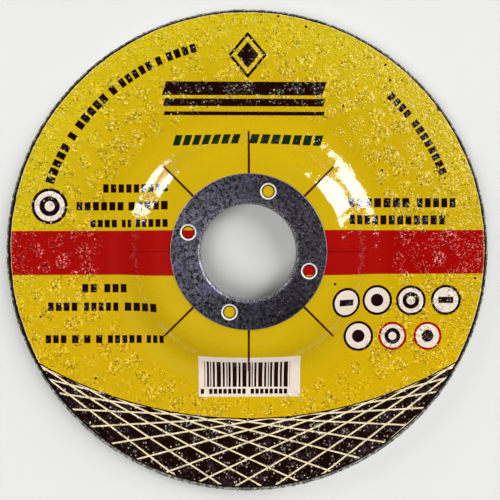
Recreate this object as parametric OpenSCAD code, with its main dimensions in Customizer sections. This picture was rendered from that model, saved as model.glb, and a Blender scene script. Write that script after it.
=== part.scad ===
// Depressed-centre cut-off wheel for an angle grinder.
// A moulded abrasive disc with a raised hub carries a printed paper label on its upper face,
// and a pressed steel ring lines its bore and clamps the label's inner edge.
// The origin is the middle of the face that the wheel rests on, and +Z runs up the bore.

/* [Wheel] */
// Outside diameter of the wheel
wheel_d = 115; // [100:1:230]
// Thickness of the abrasive body
wheel_t = 3; // [2:0.1:4]
// Bore diameter, inside the steel ring
bore_d = 22.23; // [20:0.01:25.4]
// Bevel along both edges of the rim
rim_bevel = 0.2; // [0.05:0.05:0.5]

/* [Depressed centre] */
// Diameter of the flat floor of the recess under the hub
recess_d = 45.5; // [42:0.5:52]
// Height by which the hub stands above the rim
hub_rise = 4.6; // [3.7:0.1:6]
// Angle of the slope between rim and hub
slope_angle = 42; // [30:1:46]
// Inside radius of the two bends of the slope
bend_r = 5.5; // [2:0.25:6]

/* [Label] */
// Thickness of the paper
label_t = 0.15; // [0.1:0.01:0.3]
// Bare abrasive left between the label and the rim
label_margin = 0.8; // [0.3:0.1:3]
// Number of slits that let the paper follow the slope
slit_count = 8; // [4:4:16]
// Width of an open slit at the label's inner edge
slit_w = 0.6; // [0.3:0.05:1]
// Width of an open slit at its outer end
slit_tip_w = 0.35; // [0.1:0.05:0.5]
// Width of the two slits that have stayed shut
slit_shut_w = 0.12; // [0.05:0.01:0.3]
// Distance by which the slits stop short of the foot of the slope
slit_short = 0.6; // [0:0.1:2]

/* [Steel ring] */
// Outside diameter of the ring's flange
ring_d = 36; // [32:0.5:39]
// Thickness of the steel sheet
ring_t = 0.35; // [0.25:0.05:0.5]
// Outside radius of the bend from the flange into the collar
ring_bend_r = 0.7; // [0.6:0.05:1]
// Rounding of the flange's outer edge
ring_edge_r = 0.15; // [0.05:0.05:0.2]
// Distance by which the collar stops short of the recess floor
collar_short = 0.3; // [0:0.1:0.8]
// Number of punched holes in the flange
hole_count = 4; // [2:1:8]
// Diameter of a punched hole
hole_d = 2.7; // [1.5:0.1:4]
// Turn of the first hole from the +X axis
hole_turn = -17.8; // [-45:0.1:45]
// Width of the dished lip around a hole
hole_lip_w = 0.45; // [0.1:0.05:0.8]
// Depth of the dished lip around a hole
hole_lip_depth = 0.2; // [0.05:0.05:0.24]

/* [Hidden] */

$fn = 128;
arc_steps = 12;    // straight runs in each round stretch of a section
cut_past = 1;      // how far a cutter runs past the piece that it cuts
ring_gap = 0.2;    // from the start of the ring's flat flange out to the label's inner edge

wheel_r = wheel_d / 2;
bore_r = bore_d / 2;
ring_r = ring_d / 2;

// The wall keeps its thickness through the slope, so its upper corners lie further out.
corner_shift = wheel_t * tan(slope_angle / 2);
hub_flat_r = recess_d / 2 + corner_shift;
foot_r = hub_flat_r + hub_rise / tan(slope_angle);
hub_z = wheel_t + hub_rise;

// Centres of the two bends, which the wall's upper and lower faces share.
hub_bend = [recess_d / 2 - bend_r * tan(slope_angle / 2), hub_rise - bend_r];
foot_bend = [foot_r + bend_r * tan(slope_angle / 2), wheel_t + bend_r];

collar_seat_r = bore_r + ring_t;
bend_inner_r = ring_bend_r - ring_t;
flange_start_r = bore_r + ring_bend_r;
ring_floor = hub_z + label_t;
ring_top = ring_floor + ring_t;

label_in_r = flange_start_r + ring_gap;
label_out_r = wheel_r - rim_bevel - label_margin;
slit_end_r = foot_r - slit_short;
hole_circle_r = (bore_r + ring_r) / 2;

function arc(centre, r, from, to) =
    [for (i = [0:arc_steps]) let (a = from + (to - from) * i / arc_steps) centre + r * [cos(a), sin(a)]];

function reversed(points) = [for (i = [len(points) - 1:-1:0]) points[i]];

// Section of the wall from r_in out to r_out, at a height above the wheel's upper face.
function wall_curve(lift, r_in, r_out) = concat(
    [[r_in, hub_z + lift]],
    arc(hub_bend, bend_r + wheel_t + lift, 90, 90 - slope_angle),
    arc(foot_bend, bend_r - lift, 270 - slope_angle, 270),
    [[r_out, wheel_t + lift]]
);

// Moulded disc: rim, slope and raised hub in one wall, with a seat for the ring in its bore.
module abrasive_wheel() {
    rim_r = wheel_r - rim_bevel;
    color("dimgray")
        rotate_extrude()
            polygon(concat(
                [[collar_seat_r, hub_z - bend_inner_r]],
                wall_curve(0, collar_seat_r + bend_inner_r, rim_r),
                [[wheel_r, wheel_t - rim_bevel], [wheel_r, rim_bevel]],
                reversed(wall_curve(-wheel_t, collar_seat_r, rim_r))
            ));
}

// One narrow wedge, from inside the label's bore out to the end of the slit.
module slit(inner_w, tip_w) {
    start_r = label_in_r - cut_past;
    linear_extrude(ring_top + cut_past)
        polygon([
            [start_r, -inner_w / 2], [slit_end_r, -tip_w / 2],
            [slit_end_r, tip_w / 2], [start_r, inner_w / 2]
        ]);
}

// Paper sheet that lies on the wheel from under the ring's flange nearly out to the rim.
// The two slits that lie along X have stayed shut.
module paper_label() {
    color("gold")
        difference() {
            rotate_extrude()
                polygon(concat(
                    wall_curve(label_t, label_in_r, label_out_r),
                    reversed(wall_curve(0, label_in_r, label_out_r))
                ));
            for (k = [0:slit_count - 1])
                rotate(k * 360 / slit_count)
                    if (k % (slit_count / 2) == 0) slit(slit_shut_w, slit_shut_w);
                    else slit(slit_w, slit_tip_w);
        }
}

// Through hole with a dished lip, centred on the Z axis.
module punched_hole() {
    translate([0, 0, ring_floor - cut_past])
        cylinder(h = ring_t + 2 * cut_past, d = hole_d);
    translate([0, 0, ring_top - hole_lip_depth])
        cylinder(h = 2 * hole_lip_depth, d1 = hole_d, d2 = hole_d + 4 * hole_lip_w);
}

// Pressed eyelet: a flat flange on the label, bent down into a collar that lines the bore.
module steel_ring() {
    collar_bend = [flange_start_r, ring_top - ring_bend_r];
    collar_end = hub_rise + collar_short;
    color("slategray")
        difference() {
            rotate_extrude()
                polygon(concat(
                    [[ring_r, ring_floor]],
                    arc([ring_r - ring_edge_r, ring_top - ring_edge_r], ring_edge_r, 0, 90),
                    arc(collar_bend, ring_bend_r, 90, 180),
                    [[bore_r, collar_end], [collar_seat_r, collar_end]],
                    arc(collar_bend, bend_inner_r, 180, 90)
                ));
            for (k = [0:hole_count - 1])
                rotate(hole_turn + k * 360 / hole_count)
                    translate([hole_circle_r, 0, 0])
                        punched_hole();
        }
}

abrasive_wheel();
paper_label();
steel_ring();
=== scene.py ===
"""Looks of a cut-off wheel with a depressed centre: grainy disc, printed label and steel ring.

Shapes and print are worked out in millimetres and put into the frame in metres.
"""

import functools
import itertools
import logging
import math
import operator
from collections.abc import Callable
from dataclasses import dataclass
from enum import Enum

import bpy
import numpy as np
from mathutils import Matrix, Vector


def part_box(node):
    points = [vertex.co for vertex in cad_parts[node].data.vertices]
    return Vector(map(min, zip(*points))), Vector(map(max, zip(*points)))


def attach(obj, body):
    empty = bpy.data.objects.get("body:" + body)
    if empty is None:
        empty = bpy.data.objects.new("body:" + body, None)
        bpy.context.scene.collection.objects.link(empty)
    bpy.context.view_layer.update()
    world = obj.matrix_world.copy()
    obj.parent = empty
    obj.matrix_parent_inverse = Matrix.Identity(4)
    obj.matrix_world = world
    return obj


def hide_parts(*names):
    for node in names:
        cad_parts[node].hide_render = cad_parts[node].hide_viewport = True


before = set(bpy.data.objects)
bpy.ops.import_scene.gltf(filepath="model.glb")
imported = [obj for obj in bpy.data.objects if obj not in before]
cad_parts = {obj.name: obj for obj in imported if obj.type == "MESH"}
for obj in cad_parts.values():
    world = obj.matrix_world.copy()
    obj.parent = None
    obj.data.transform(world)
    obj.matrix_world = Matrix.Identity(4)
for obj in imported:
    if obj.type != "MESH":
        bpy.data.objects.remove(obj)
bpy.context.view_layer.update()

LOG = logging.getLogger("cut_off_wheel")
MM = 0.001
PER_METRE = 1000.0
SECTORS = 8
SECTOR_ANGLE = 2.0 * math.pi / SECTORS
BAKE_MAP = "OFBake"
LOW_CORNER = 0.085
HIGH_CORNER = 0.915
CORNER_REACH = 0.08
CELL_PRIMES = (73856093, 19349663, 83492791)
CHANNEL_STEP = 2654435
MIX_ROUNDS = ((15, 739982445), (12, 695872825))
LAST_SHIFT = 15
HASH_MASK = 0x7FFFFFFF
CHANCE_MASK = 0xFFFFFF


class Tone(Enum):
    """Inks, papers and bare surfaces, as screen colours from 0 to 255."""

    YELLOW = (209, 174, 9)
    LEMON = (216, 189, 20)
    AMBER = (218, 178, 8)
    RED = (168, 8, 4)
    PINK = (244, 150, 138)
    NIGHT = (25, 8, 3)
    NIGHT_VIOLET = (62, 38, 50)
    PALE_LINE = (246, 228, 184)
    CREAM = (244, 231, 158)
    BLACK = (30, 7, 6)
    BOTTLE_GREEN = (20, 38, 10)
    WHITE = (243, 227, 212)
    PAPER_CORE = (205, 190, 160)
    SHADE = (80, 8, 4)
    # dark red-brown laid on the paper along the open slits
    SLIT_BROWN = (104, 24, 4)
    RESIN = (22, 15, 13)
    GRAIN = (74, 65, 58)
    DUST = (176, 172, 164)
    YARN = (92, 84, 70)
    TIN = (194, 190, 212)
    # pale violet for a painted sheen on the ring
    VIOLET_SHEEN = (168, 166, 214)
    TIN_SHADE = (52, 50, 64)
    TIN_GREEN = (96, 106, 98)
    # warm grey laid over the ring towards +X
    WARM_GREY = (84, 72, 72)
    # white for painted highlights on the ring's edges and holes, and for its pale specks
    SPECK_AND_GLINT = (236, 234, 230)
    FLOOR = (226, 226, 224)

    @property
    def linear(self) -> tuple[float, float, float, float]:
        """The tone in linear light, opaque.

        Returns:
            Red, green, blue and opacity from 0 to 1.
        """
        parts = np.array(self.value) / 255.0
        light = np.where(parts <= 0.04045, parts / 12.92, ((parts + 0.055) / 1.055) ** 2.4)
        return (float(light[0]), float(light[1]), float(light[2]), 1.0)


class Mark(Enum):
    """Plain figure in the middle of a roundel."""

    DOT = "dot"
    BAR = "bar"
    HOOP = "hoop"


def smooth_step(low: float, high: float, values: np.ndarray) -> np.ndarray:
    """Rise smoothly from 0 at low to 1 at high: 3t^2 - 2t^3 of the clamped share t."""
    share = np.clip((values - low) / (high - low), 0.0, 1.0)
    return share * share * (3.0 - 2.0 * share)


def plateau(zone: tuple[float, float, float, float], values: np.ndarray) -> np.ndarray:
    """Rise smoothly over the zone's first two values and fall over its last two."""
    return smooth_step(*zone[:2], values) * (1.0 - smooth_step(*zone[2:], values))


def about_axis(radius: np.ndarray, angle: np.ndarray, height: np.ndarray | float) -> np.ndarray:
    """Place points about the axis: radius r, angle a and height z go to (r cos a, r sin a, z)."""
    return np.stack(np.broadcast_arrays(radius * np.cos(angle), radius * np.sin(angle), height), axis=-1)


def cell_chance(cells: np.ndarray, channel: int) -> np.ndarray:
    """Give each whole-numbered cell a fixed random number, by mixing the bits of its three numbers.

    Args:
        cells: whole numbers, three to a cell along the last axis.
        channel: picks one of several independent numbers for a cell.

    Returns:
        A number from 0 to 1 for each cell.
    """
    mixed = np.bitwise_xor.reduce(cells * np.array(CELL_PRIMES), axis=-1)
    mixed = (mixed + channel * CHANNEL_STEP) & HASH_MASK
    for shift, factor in MIX_ROUNDS:
        mixed = ((mixed ^ (mixed >> shift)) * factor) & HASH_MASK
    return ((mixed ^ (mixed >> LAST_SHIFT)) & CHANCE_MASK) / CHANCE_MASK


def stepped(stops: tuple[float, ...], steps: tuple[int, ...]) -> np.ndarray:
    """Run from each stop to the next in its number of even steps, with each stop once."""
    spans = zip(stops, stops[1:], steps)
    return np.append(np.concatenate([np.linspace(*span, endpoint=False) for span in spans]), stops[-1])


def grid_quads(number: np.ndarray) -> np.ndarray:
    """Quads of grids that are numbered by grid, column and row, facing up."""
    corners = [number[:, :-1, :-1], number[:, :-1, 1:], number[:, 1:, 1:], number[:, 1:, :-1]]
    return np.stack(corners, axis=-1).reshape(-1, 4)


@dataclass(frozen=True)
class Grain:
    """Abrasive grains under a skin: one oval bump in each cell of a jittered grid."""

    pitch: float
    reach: float
    stretch: float
    flat: bool
    smallest: float = 0.6
    lowest: float = 0.35

    def height(self, points: np.ndarray, strength: Callable[[np.ndarray], np.ndarray]) -> np.ndarray:
        """Height of the highest bump over each point: s (1 - d^2)^2, with d the distance in bump radii.

        Args:
            points: places in millimetres, three numbers each.
            strength: gives the height of a bump from its centre.

        Returns:
            The height at each point.
        """
        home = np.floor(points / self.pitch).astype(np.int64)
        top = np.zeros(len(points))
        levels = (0,) if self.flat else (-1, 0, 1)
        for step in itertools.product((-1, 0, 1), (-1, 0, 1), levels):
            cell = home + np.array(step)
            jitter = np.stack([cell_chance(cell, channel) for channel in range(3)], axis=-1)
            centre = (cell + jitter) * self.pitch
            away = points - centre
            if self.flat:
                away[:, 2] = 0.0
            turn = cell_chance(cell, 3) * math.pi
            along = away[:, 0] * np.cos(turn) + away[:, 1] * np.sin(turn)
            across = away[:, 1] * np.cos(turn) - away[:, 0] * np.sin(turn)
            oval = 1.0 + (self.stretch - 1.0) * cell_chance(cell, 4)
            radius = self.reach * (self.smallest + (1.0 - self.smallest) * cell_chance(cell, 5))
            square = ((along / oval) ** 2 + across**2 + away[:, 2] ** 2) / radius**2
            bump = strength(centre) * (self.lowest + (1.0 - self.lowest) * cell_chance(cell, 6))
            top = np.maximum(top, bump * np.clip(1.0 - square, 0.0, None) ** 2)
        return top


@dataclass(frozen=True)
class Net:
    """Square reinforcing net: straight yarns at an even pitch, turned on the wheel."""

    pitch: float
    yarn: float
    turn_deg: float
    sway: float = 0.4
    sway_rates: tuple[float, float, float, float] = (1.3, 0.9, 1.5, 0.7)
    wander: float = 0.2

    def turned(self, points: np.ndarray) -> np.ndarray:
        """Measure places along the two yarn directions.

        Args:
            points: places in millimetres.

        Returns:
            Two numbers for each place, in pitches.
        """
        turn = math.radians(self.turn_deg)
        along = points[..., 0] * math.cos(turn) + points[..., 1] * math.sin(turn)
        across = points[..., 1] * math.cos(turn) - points[..., 0] * math.sin(turn)
        return np.stack([along, across], axis=-1) / self.pitch

    def window(self, points: np.ndarray) -> np.ndarray:
        """How far the net's windows let the grain through: 1 mid-window, 0 over a yarn.

        The windows are rounded and sway with sines of the place. Each gets a random share, so that some stay
        nearly smooth.

        Args:
            points: places in millimetres.

        Returns:
            A number from 0 to 1 at each place.
        """
        x, y = points[..., 0], points[..., 1]
        rates = self.sway_rates
        sway = np.stack([
            np.sin(y * rates[0] + np.sin(x * rates[1])),
            np.sin(x * rates[2] + np.sin(y * rates[3]) + 1.0),
        ], axis=-1)
        turned = self.turned(points[..., :2] + self.sway * sway)
        home = np.floor(turned)
        cells = np.concatenate([home, np.zeros_like(home[..., :1])], axis=-1).astype(np.int64)
        shift = np.stack([cell_chance(cells, 8), cell_chance(cells, 9)], axis=-1) - 0.5
        off = np.abs(turned - home - 0.5 - self.wander * shift)
        edge = (off**3).sum(axis=-1) ** (1.0 / 3.0)
        size = 0.5 * (1.0 - self.yarn / self.pitch) * (0.85 + 0.35 * cell_chance(cells, 10))
        share = smooth_step(-0.25, 0.4, cell_chance(cells, 7))
        return share * (1.0 - smooth_step(size * 0.6, size * 1.15, edge))

    def relief(self, points: np.ndarray) -> np.ndarray:
        """Height of the woven yarns: round ridges that go over and under each other by turns.

        Args:
            points: places in millimetres.

        Returns:
            A height from 0 in the windows to 1 on the crown of a yarn.
        """
        turned = self.turned(points)
        off = np.abs(turned - np.round(turned)) * self.pitch / (0.5 * self.yarn)
        ridge = np.sqrt(np.clip(1.0 - off**2, 0.0, None))
        weave = np.cos(math.pi * turned[..., ::-1]) * np.cos(math.pi * np.round(turned))
        lift = 0.62 + 0.38 * weave * np.array([1.0, -1.0])
        return (ridge * lift).max(axis=-1)


@dataclass
class Surface:
    """Points in millimetres and the quads and triangles that join them, with a flat map for each corner."""

    points: np.ndarray
    quads: np.ndarray
    triangles: np.ndarray
    quad_map: np.ndarray
    triangle_map: np.ndarray

    def to_object(self, name: str, sharp_deg: float) -> bpy.types.Object:
        """Put the surface into a smooth-shaded mesh object that rides on the wheel.

        Args:
            name: name of the piece.
            sharp_deg: edges that turn by more than this stay crisp.

        Returns:
            The new object, linked to the scene.
        """
        loops = np.concatenate([self.quads.ravel(), self.triangles.ravel()])
        starts = np.concatenate([
            4 * np.arange(len(self.quads)),
            4 * len(self.quads) + 3 * np.arange(len(self.triangles)),
        ])
        mesh = bpy.data.meshes.new(name)
        mesh.vertices.add(len(self.points))
        mesh.vertices.foreach_set("co", (self.points * MM).astype(np.float32).ravel())
        mesh.loops.add(len(loops))
        mesh.loops.foreach_set("vertex_index", loops.astype(np.int32))
        mesh.polygons.add(len(starts))
        mesh.polygons.foreach_set("loop_start", starts.astype(np.int32))
        flat = np.concatenate([self.quad_map.reshape(-1, 2), self.triangle_map.reshape(-1, 2)])
        layer = mesh.uv_layers.new(name=BAKE_MAP)
        layer.data.foreach_set("uv", flat.astype(np.float32).ravel())
        mesh.update(calc_edges=True)
        mesh.shade_smooth()
        mesh.set_sharp_from_angle(angle=math.radians(sharp_deg))
        piece = bpy.data.objects.new(name, mesh)
        bpy.context.scene.collection.objects.link(piece)
        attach(piece, "root")
        return piece


def store_numbers(piece: bpy.types.Object, name: str, values: np.ndarray) -> None:
    """Keep one number for each vertex of a piece, for its material to read."""
    attribute = piece.data.attributes.new(name, "FLOAT", "POINT")
    attribute.data.foreach_set("value", values.astype(np.float32))


@dataclass(frozen=True)
class HubSection:
    """Half section of the dished wall: flat hub, slope with two round bends, flat rim."""

    thickness: float
    rise: float
    recess_radius: float
    slope_deg: float
    bend_radius: float

    @property
    def slope(self) -> float:
        """Angle of the slope in radians."""
        return math.radians(self.slope_deg)

    @property
    def setback(self) -> float:
        """Distance from a corner of the section to the start of its bend."""
        return self.bend_radius * math.tan(self.slope / 2)

    @property
    def foot_radius(self) -> float:
        """Radius at which the slope's straight line meets the rim's upper face."""
        run = self.rise / math.tan(self.slope)
        return self.recess_radius + self.thickness * math.tan(self.slope / 2) + run

    @property
    def hub_bend(self) -> tuple[float, float]:
        """Radius and height of the centre of the upper bend."""
        return self.recess_radius - self.setback, self.rise - self.bend_radius

    @property
    def foot_bend(self) -> tuple[float, float]:
        """Radius and height of the centre of the lower bend."""
        return self.foot_radius + self.setback, self.thickness + self.bend_radius

    def height(self, radius: np.ndarray, lift: float) -> np.ndarray:
        """Height of the face that lies a distance lift above the wall's upper face.

        Flat hub, then an arc about the upper bend, a straight slope, an arc about the lower bend, and the
        flat rim.

        Args:
            radius: distances from the axis.
            lift: distance from the wall's upper face, minus the thickness for its lower face.

        Returns:
            The height at each radius.
        """
        hub_r, hub_z = self.hub_bend
        foot_r, foot_z = self.foot_bend
        outer = self.bend_radius + self.thickness + lift
        inner = self.bend_radius - lift
        arc_end = hub_r + outer * math.sin(self.slope)
        arc_start = foot_r - inner * math.sin(self.slope)
        hub_arc = hub_z + np.sqrt(np.clip(outer**2 - (radius - hub_r) ** 2, 0.0, None))
        foot_arc = foot_z - np.sqrt(np.clip(inner**2 - (foot_r - radius) ** 2, 0.0, None))
        straight = hub_z + outer * math.cos(self.slope) - (radius - arc_end) * math.tan(self.slope)
        return np.select(
            [radius < hub_r, radius < arc_end, radius < arc_start, radius < foot_r],
            [np.full_like(radius, self.rise + self.thickness + lift), hub_arc, straight, foot_arc],
            np.full_like(radius, self.thickness + lift),
        )


class Field:
    """A number that varies over a surface: the output of a shader node."""

    def __init__(self, tree: bpy.types.NodeTree, socket: bpy.types.NodeSocket) -> None:
        """Keep the node tree and the socket that gives the number."""
        self.tree = tree
        self.socket = socket

    def math(self, operation: str, *others: "Field | float") -> "Field":
        """Feed this field and others to one Math node.

        Args:
            operation: the node's operation.
            others: its other inputs, in order.

        Returns:
            The node's result.
        """
        node = self.tree.nodes.new("ShaderNodeMath")
        node.operation = operation
        for entry, value in zip(node.inputs, (self, *others)):
            if isinstance(value, Field):
                self.tree.links.new(value.socket, entry)
            else:
                entry.default_value = value
        return Field(self.tree, node.outputs[0])

    def __add__(self, other: "Field | float") -> "Field":
        """Sum."""
        return self.math("ADD", other)

    def __sub__(self, other: "Field | float") -> "Field":
        """Difference."""
        return self.math("SUBTRACT", other)

    def __mul__(self, other: "Field | float") -> "Field":
        """Product."""
        return self.math("MULTIPLY", other)

    def __or__(self, other: "Field | float") -> "Field":
        """The larger of the two, which joins masks."""
        return self.math("MAXIMUM", other)

    def gain(self, change: float) -> "Field":
        """1 where the field is 0, and 1 plus the change where it is 1."""
        return self * change + 1.0

    def near(self, middle: float, half: float) -> "Field":
        """1 within half of middle, otherwise 0."""
        return self.math("COMPARE", middle, half)

    def below(self, limit: "Field | float") -> "Field":
        """1 under the limit, otherwise 0."""
        return self.math("LESS_THAN", limit)

    def above(self, limit: "Field | float") -> "Field":
        """1 over the limit, otherwise 0."""
        return self.math("GREATER_THAN", limit)

    def ramp(self, low: float, high: float) -> "Field":
        """Rise smoothly from 0 at low to 1 at high; a low above high makes it fall.

        Args:
            low: value that gives 0.
            high: value that gives 1.

        Returns:
            The clamped share.
        """
        node = self.tree.nodes.new("ShaderNodeMapRange")
        node.interpolation_type = "SMOOTHSTEP"
        self.tree.links.new(self.socket, node.inputs["Value"])
        node.inputs["From Min"].default_value = low
        node.inputs["From Max"].default_value = high
        return Field(self.tree, node.outputs["Result"])


def joined(masks: list[Field]) -> Field:
    """Join masks into one."""
    return functools.reduce(operator.or_, masks)


class Coat:
    """A node material under construction: places on the piece, patterns, layers of colour, and the shader."""

    def __init__(self, name: str) -> None:
        """Start a material with a Principled shader and the piece's own coordinates in millimetres.

        Args:
            name: name of the material.
        """
        self.material = bpy.data.materials.new(name)
        self.material.use_nodes = True
        self.tree = self.material.node_tree
        self.shader = self.tree.nodes["Principled BSDF"]
        self.place = self.tree.nodes.new("ShaderNodeTexCoord").outputs["Object"]
        split = self.tree.nodes.new("ShaderNodeSeparateXYZ")
        self.tree.links.new(self.place, split.inputs[0])
        self.x, self.y, self.z = (Field(self.tree, entry) * PER_METRE for entry in split.outputs)
        self.colour: bpy.types.NodeSocket | None = None

    def reach(self, x: float, y: float) -> Field:
        """Distance in the plane from a point.

        Args:
            x: the point's place along X.
            y: the point's place along Y.

        Returns:
            The distance in millimetres.
        """
        aside = self.x - x
        along = self.y - y
        return (aside * aside + along * along).math("SQRT")

    def noise(self, size: float, detail: float, roughness: float = 0.5) -> Field:
        """Cloudy pattern from 0 to 1.

        Args:
            size: width of its patches in millimetres.
            detail: number of finer octaves.
            roughness: how strong the finer octaves are.

        Returns:
            The pattern.
        """
        node = self.tree.nodes.new("ShaderNodeTexNoise")
        self.tree.links.new(self.place, node.inputs["Vector"])
        node.inputs["Scale"].default_value = PER_METRE / size
        node.inputs["Detail"].default_value = detail
        node.inputs["Roughness"].default_value = roughness
        return Field(self.tree, node.outputs["Fac"])

    def cells(self, size: float) -> tuple[Field, Field]:
        """Grain pattern: distance from the nearest grain's middle, and a random number for each grain.

        Args:
            size: width of a grain in millimetres.

        Returns:
            The distance in grain widths, and the random number.
        """
        node = self.tree.nodes.new("ShaderNodeTexVoronoi")
        self.tree.links.new(self.place, node.inputs["Vector"])
        node.inputs["Scale"].default_value = PER_METRE / size
        split = self.tree.nodes.new("ShaderNodeSeparateColor")
        self.tree.links.new(node.outputs["Color"], split.inputs[0])
        return Field(self.tree, node.outputs["Distance"]), Field(self.tree, split.outputs[0])

    def stored(self, name: str) -> Field:
        """Read a number that is kept on the piece's vertices.

        Args:
            name: name of the attribute.

        Returns:
            The number as a field.
        """
        node = self.tree.nodes.new("ShaderNodeAttribute")
        node.attribute_name = name
        return Field(self.tree, node.outputs["Fac"])

    def lay(self, mask: "Field | None", tone: Tone) -> None:
        """Lay a tone over what is there, where the mask is 1.

        Args:
            mask: where the tone goes, or None for the first coat.
            tone: the tone.
        """
        if mask is None:
            node = self.tree.nodes.new("ShaderNodeRGB")
            node.outputs[0].default_value = tone.linear
            self.colour = node.outputs[0]
            return
        node = self.tree.nodes.new("ShaderNodeMix")
        node.data_type = "RGBA"
        under, over, mixed = node.inputs[6], node.inputs[7], node.outputs[2]
        self.tree.links.new(mask.socket, node.inputs[0])
        self.tree.links.new(self.colour, under)
        over.default_value = tone.linear
        self.colour = mixed

    def tint(self, gain: Field) -> None:
        """Multiply the colour so far by a gain.

        Args:
            gain: the factor, 1 where the colour stays.
        """
        node = self.tree.nodes.new("ShaderNodeVectorMath")
        node.operation = "SCALE"
        self.tree.links.new(self.colour, node.inputs[0])
        self.tree.links.new(gain.socket, node.inputs["Scale"])
        self.colour = node.outputs[0]

    def bump(self, height: Field, depth: float) -> None:
        """Fine relief in the shading.

        Args:
            height: pattern from 0 to 1.
            depth: its depth in millimetres.
        """
        node = self.tree.nodes.new("ShaderNodeBump")
        node.inputs["Distance"].default_value = depth * MM
        self.tree.links.new(height.socket, node.inputs["Height"])
        for entry in ("Normal", "Coat Normal"):
            self.tree.links.new(node.outputs[0], self.shader.inputs[entry])

    def feed(self, entry: str, value: "Field | float") -> None:
        """Set one of the shader's inputs.

        Args:
            entry: name of the input.
            value: a field, or one number for the whole surface.
        """
        if isinstance(value, Field):
            self.tree.links.new(value.socket, self.shader.inputs[entry])
        else:
            self.shader.inputs[entry].default_value = value

    def done(self) -> bpy.types.Material:
        """Connect the colour and hand over the material."""
        self.tree.links.new(self.colour, self.shader.inputs["Base Color"])
        return self.material


@dataclass(frozen=True)
class HoleCircle:
    """The ring's punched holes, evenly spaced on a circle."""

    circle_radius: float
    hole_radius: float
    turn_deg: float
    count: int = 4

    def reaches(self, coat: Coat) -> list[Field]:
        """Distances from the middles of the holes, one field for each hole."""
        turns = [math.radians(self.turn_deg + 360.0 / self.count * k) for k in range(self.count)]
        return [coat.reach(self.circle_radius * math.cos(a), self.circle_radius * math.sin(a)) for a in turns]


@dataclass(frozen=True)
class WordLine:
    """Line of small print, kept as plain blocks over the words' lengths."""

    y: float
    height: float
    words: tuple[tuple[float, float], ...]


@dataclass(frozen=True)
class WordArc:
    """Curved line of small print: plain blocks between pairs of angles in degrees."""

    radius: float
    height: float
    words: tuple[tuple[float, float], ...]


@dataclass(frozen=True)
class Roundel:
    """White disc with a coloured rim and a plain mark."""

    x: float
    y: float
    radius: float
    rim: Tone
    mark: Mark
    face: float = 0.83
    core: float = 0.42
    hoop: float = 0.14
    bar: float = 0.5


@dataclass(frozen=True)
class NetField:
    """Dark field under a round edge, crossed by pale lines whose slopes step evenly, as in string art."""

    centre_y: float
    edge_radius: float
    line_top: float
    line_drop: float
    line_slope: float
    line_width: float
    line_gap: float

    def masks(self, coat: Coat) -> tuple[Field, Field]:
        """Work out the dark field and its lines.

        Line n, for every odd half n, is y = top - drop n^2 + slope n x. The two lines through a point have
        n = (slope x + d) / (2 drop) and n = (slope x - d) / (2 drop), where d squared is
        (slope x)^2 + 4 drop (top - y). The distance to the nearest drawn line is d times what n lacks to an
        odd half, over the square root of 1 + (slope n)^2.

        Args:
            coat: the material that is being laid.

        Returns:
            The masks of the field and of the lines.
        """
        lean = coat.x * self.line_slope
        fall = coat.y * -1.0 + self.line_top
        spread = (lean * lean + fall * (4.0 * self.line_drop) | 0.0).math("SQRT")
        lines = []
        for root in (lean + spread, lean - spread):
            number = root * (0.5 / self.line_drop)
            left_over = (number - 0.5).math("PINGPONG", 0.5)
            slope = number * self.line_slope
            steepness = (slope * slope + 1.0).math("SQRT")
            lines.append((spread * left_over).below(steepness * (self.line_width / 2)))
        far = coat.reach(0.0, self.centre_y)
        field = far.above(self.edge_radius)
        return field, joined(lines) * far.above(self.edge_radius + self.line_gap)


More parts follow.
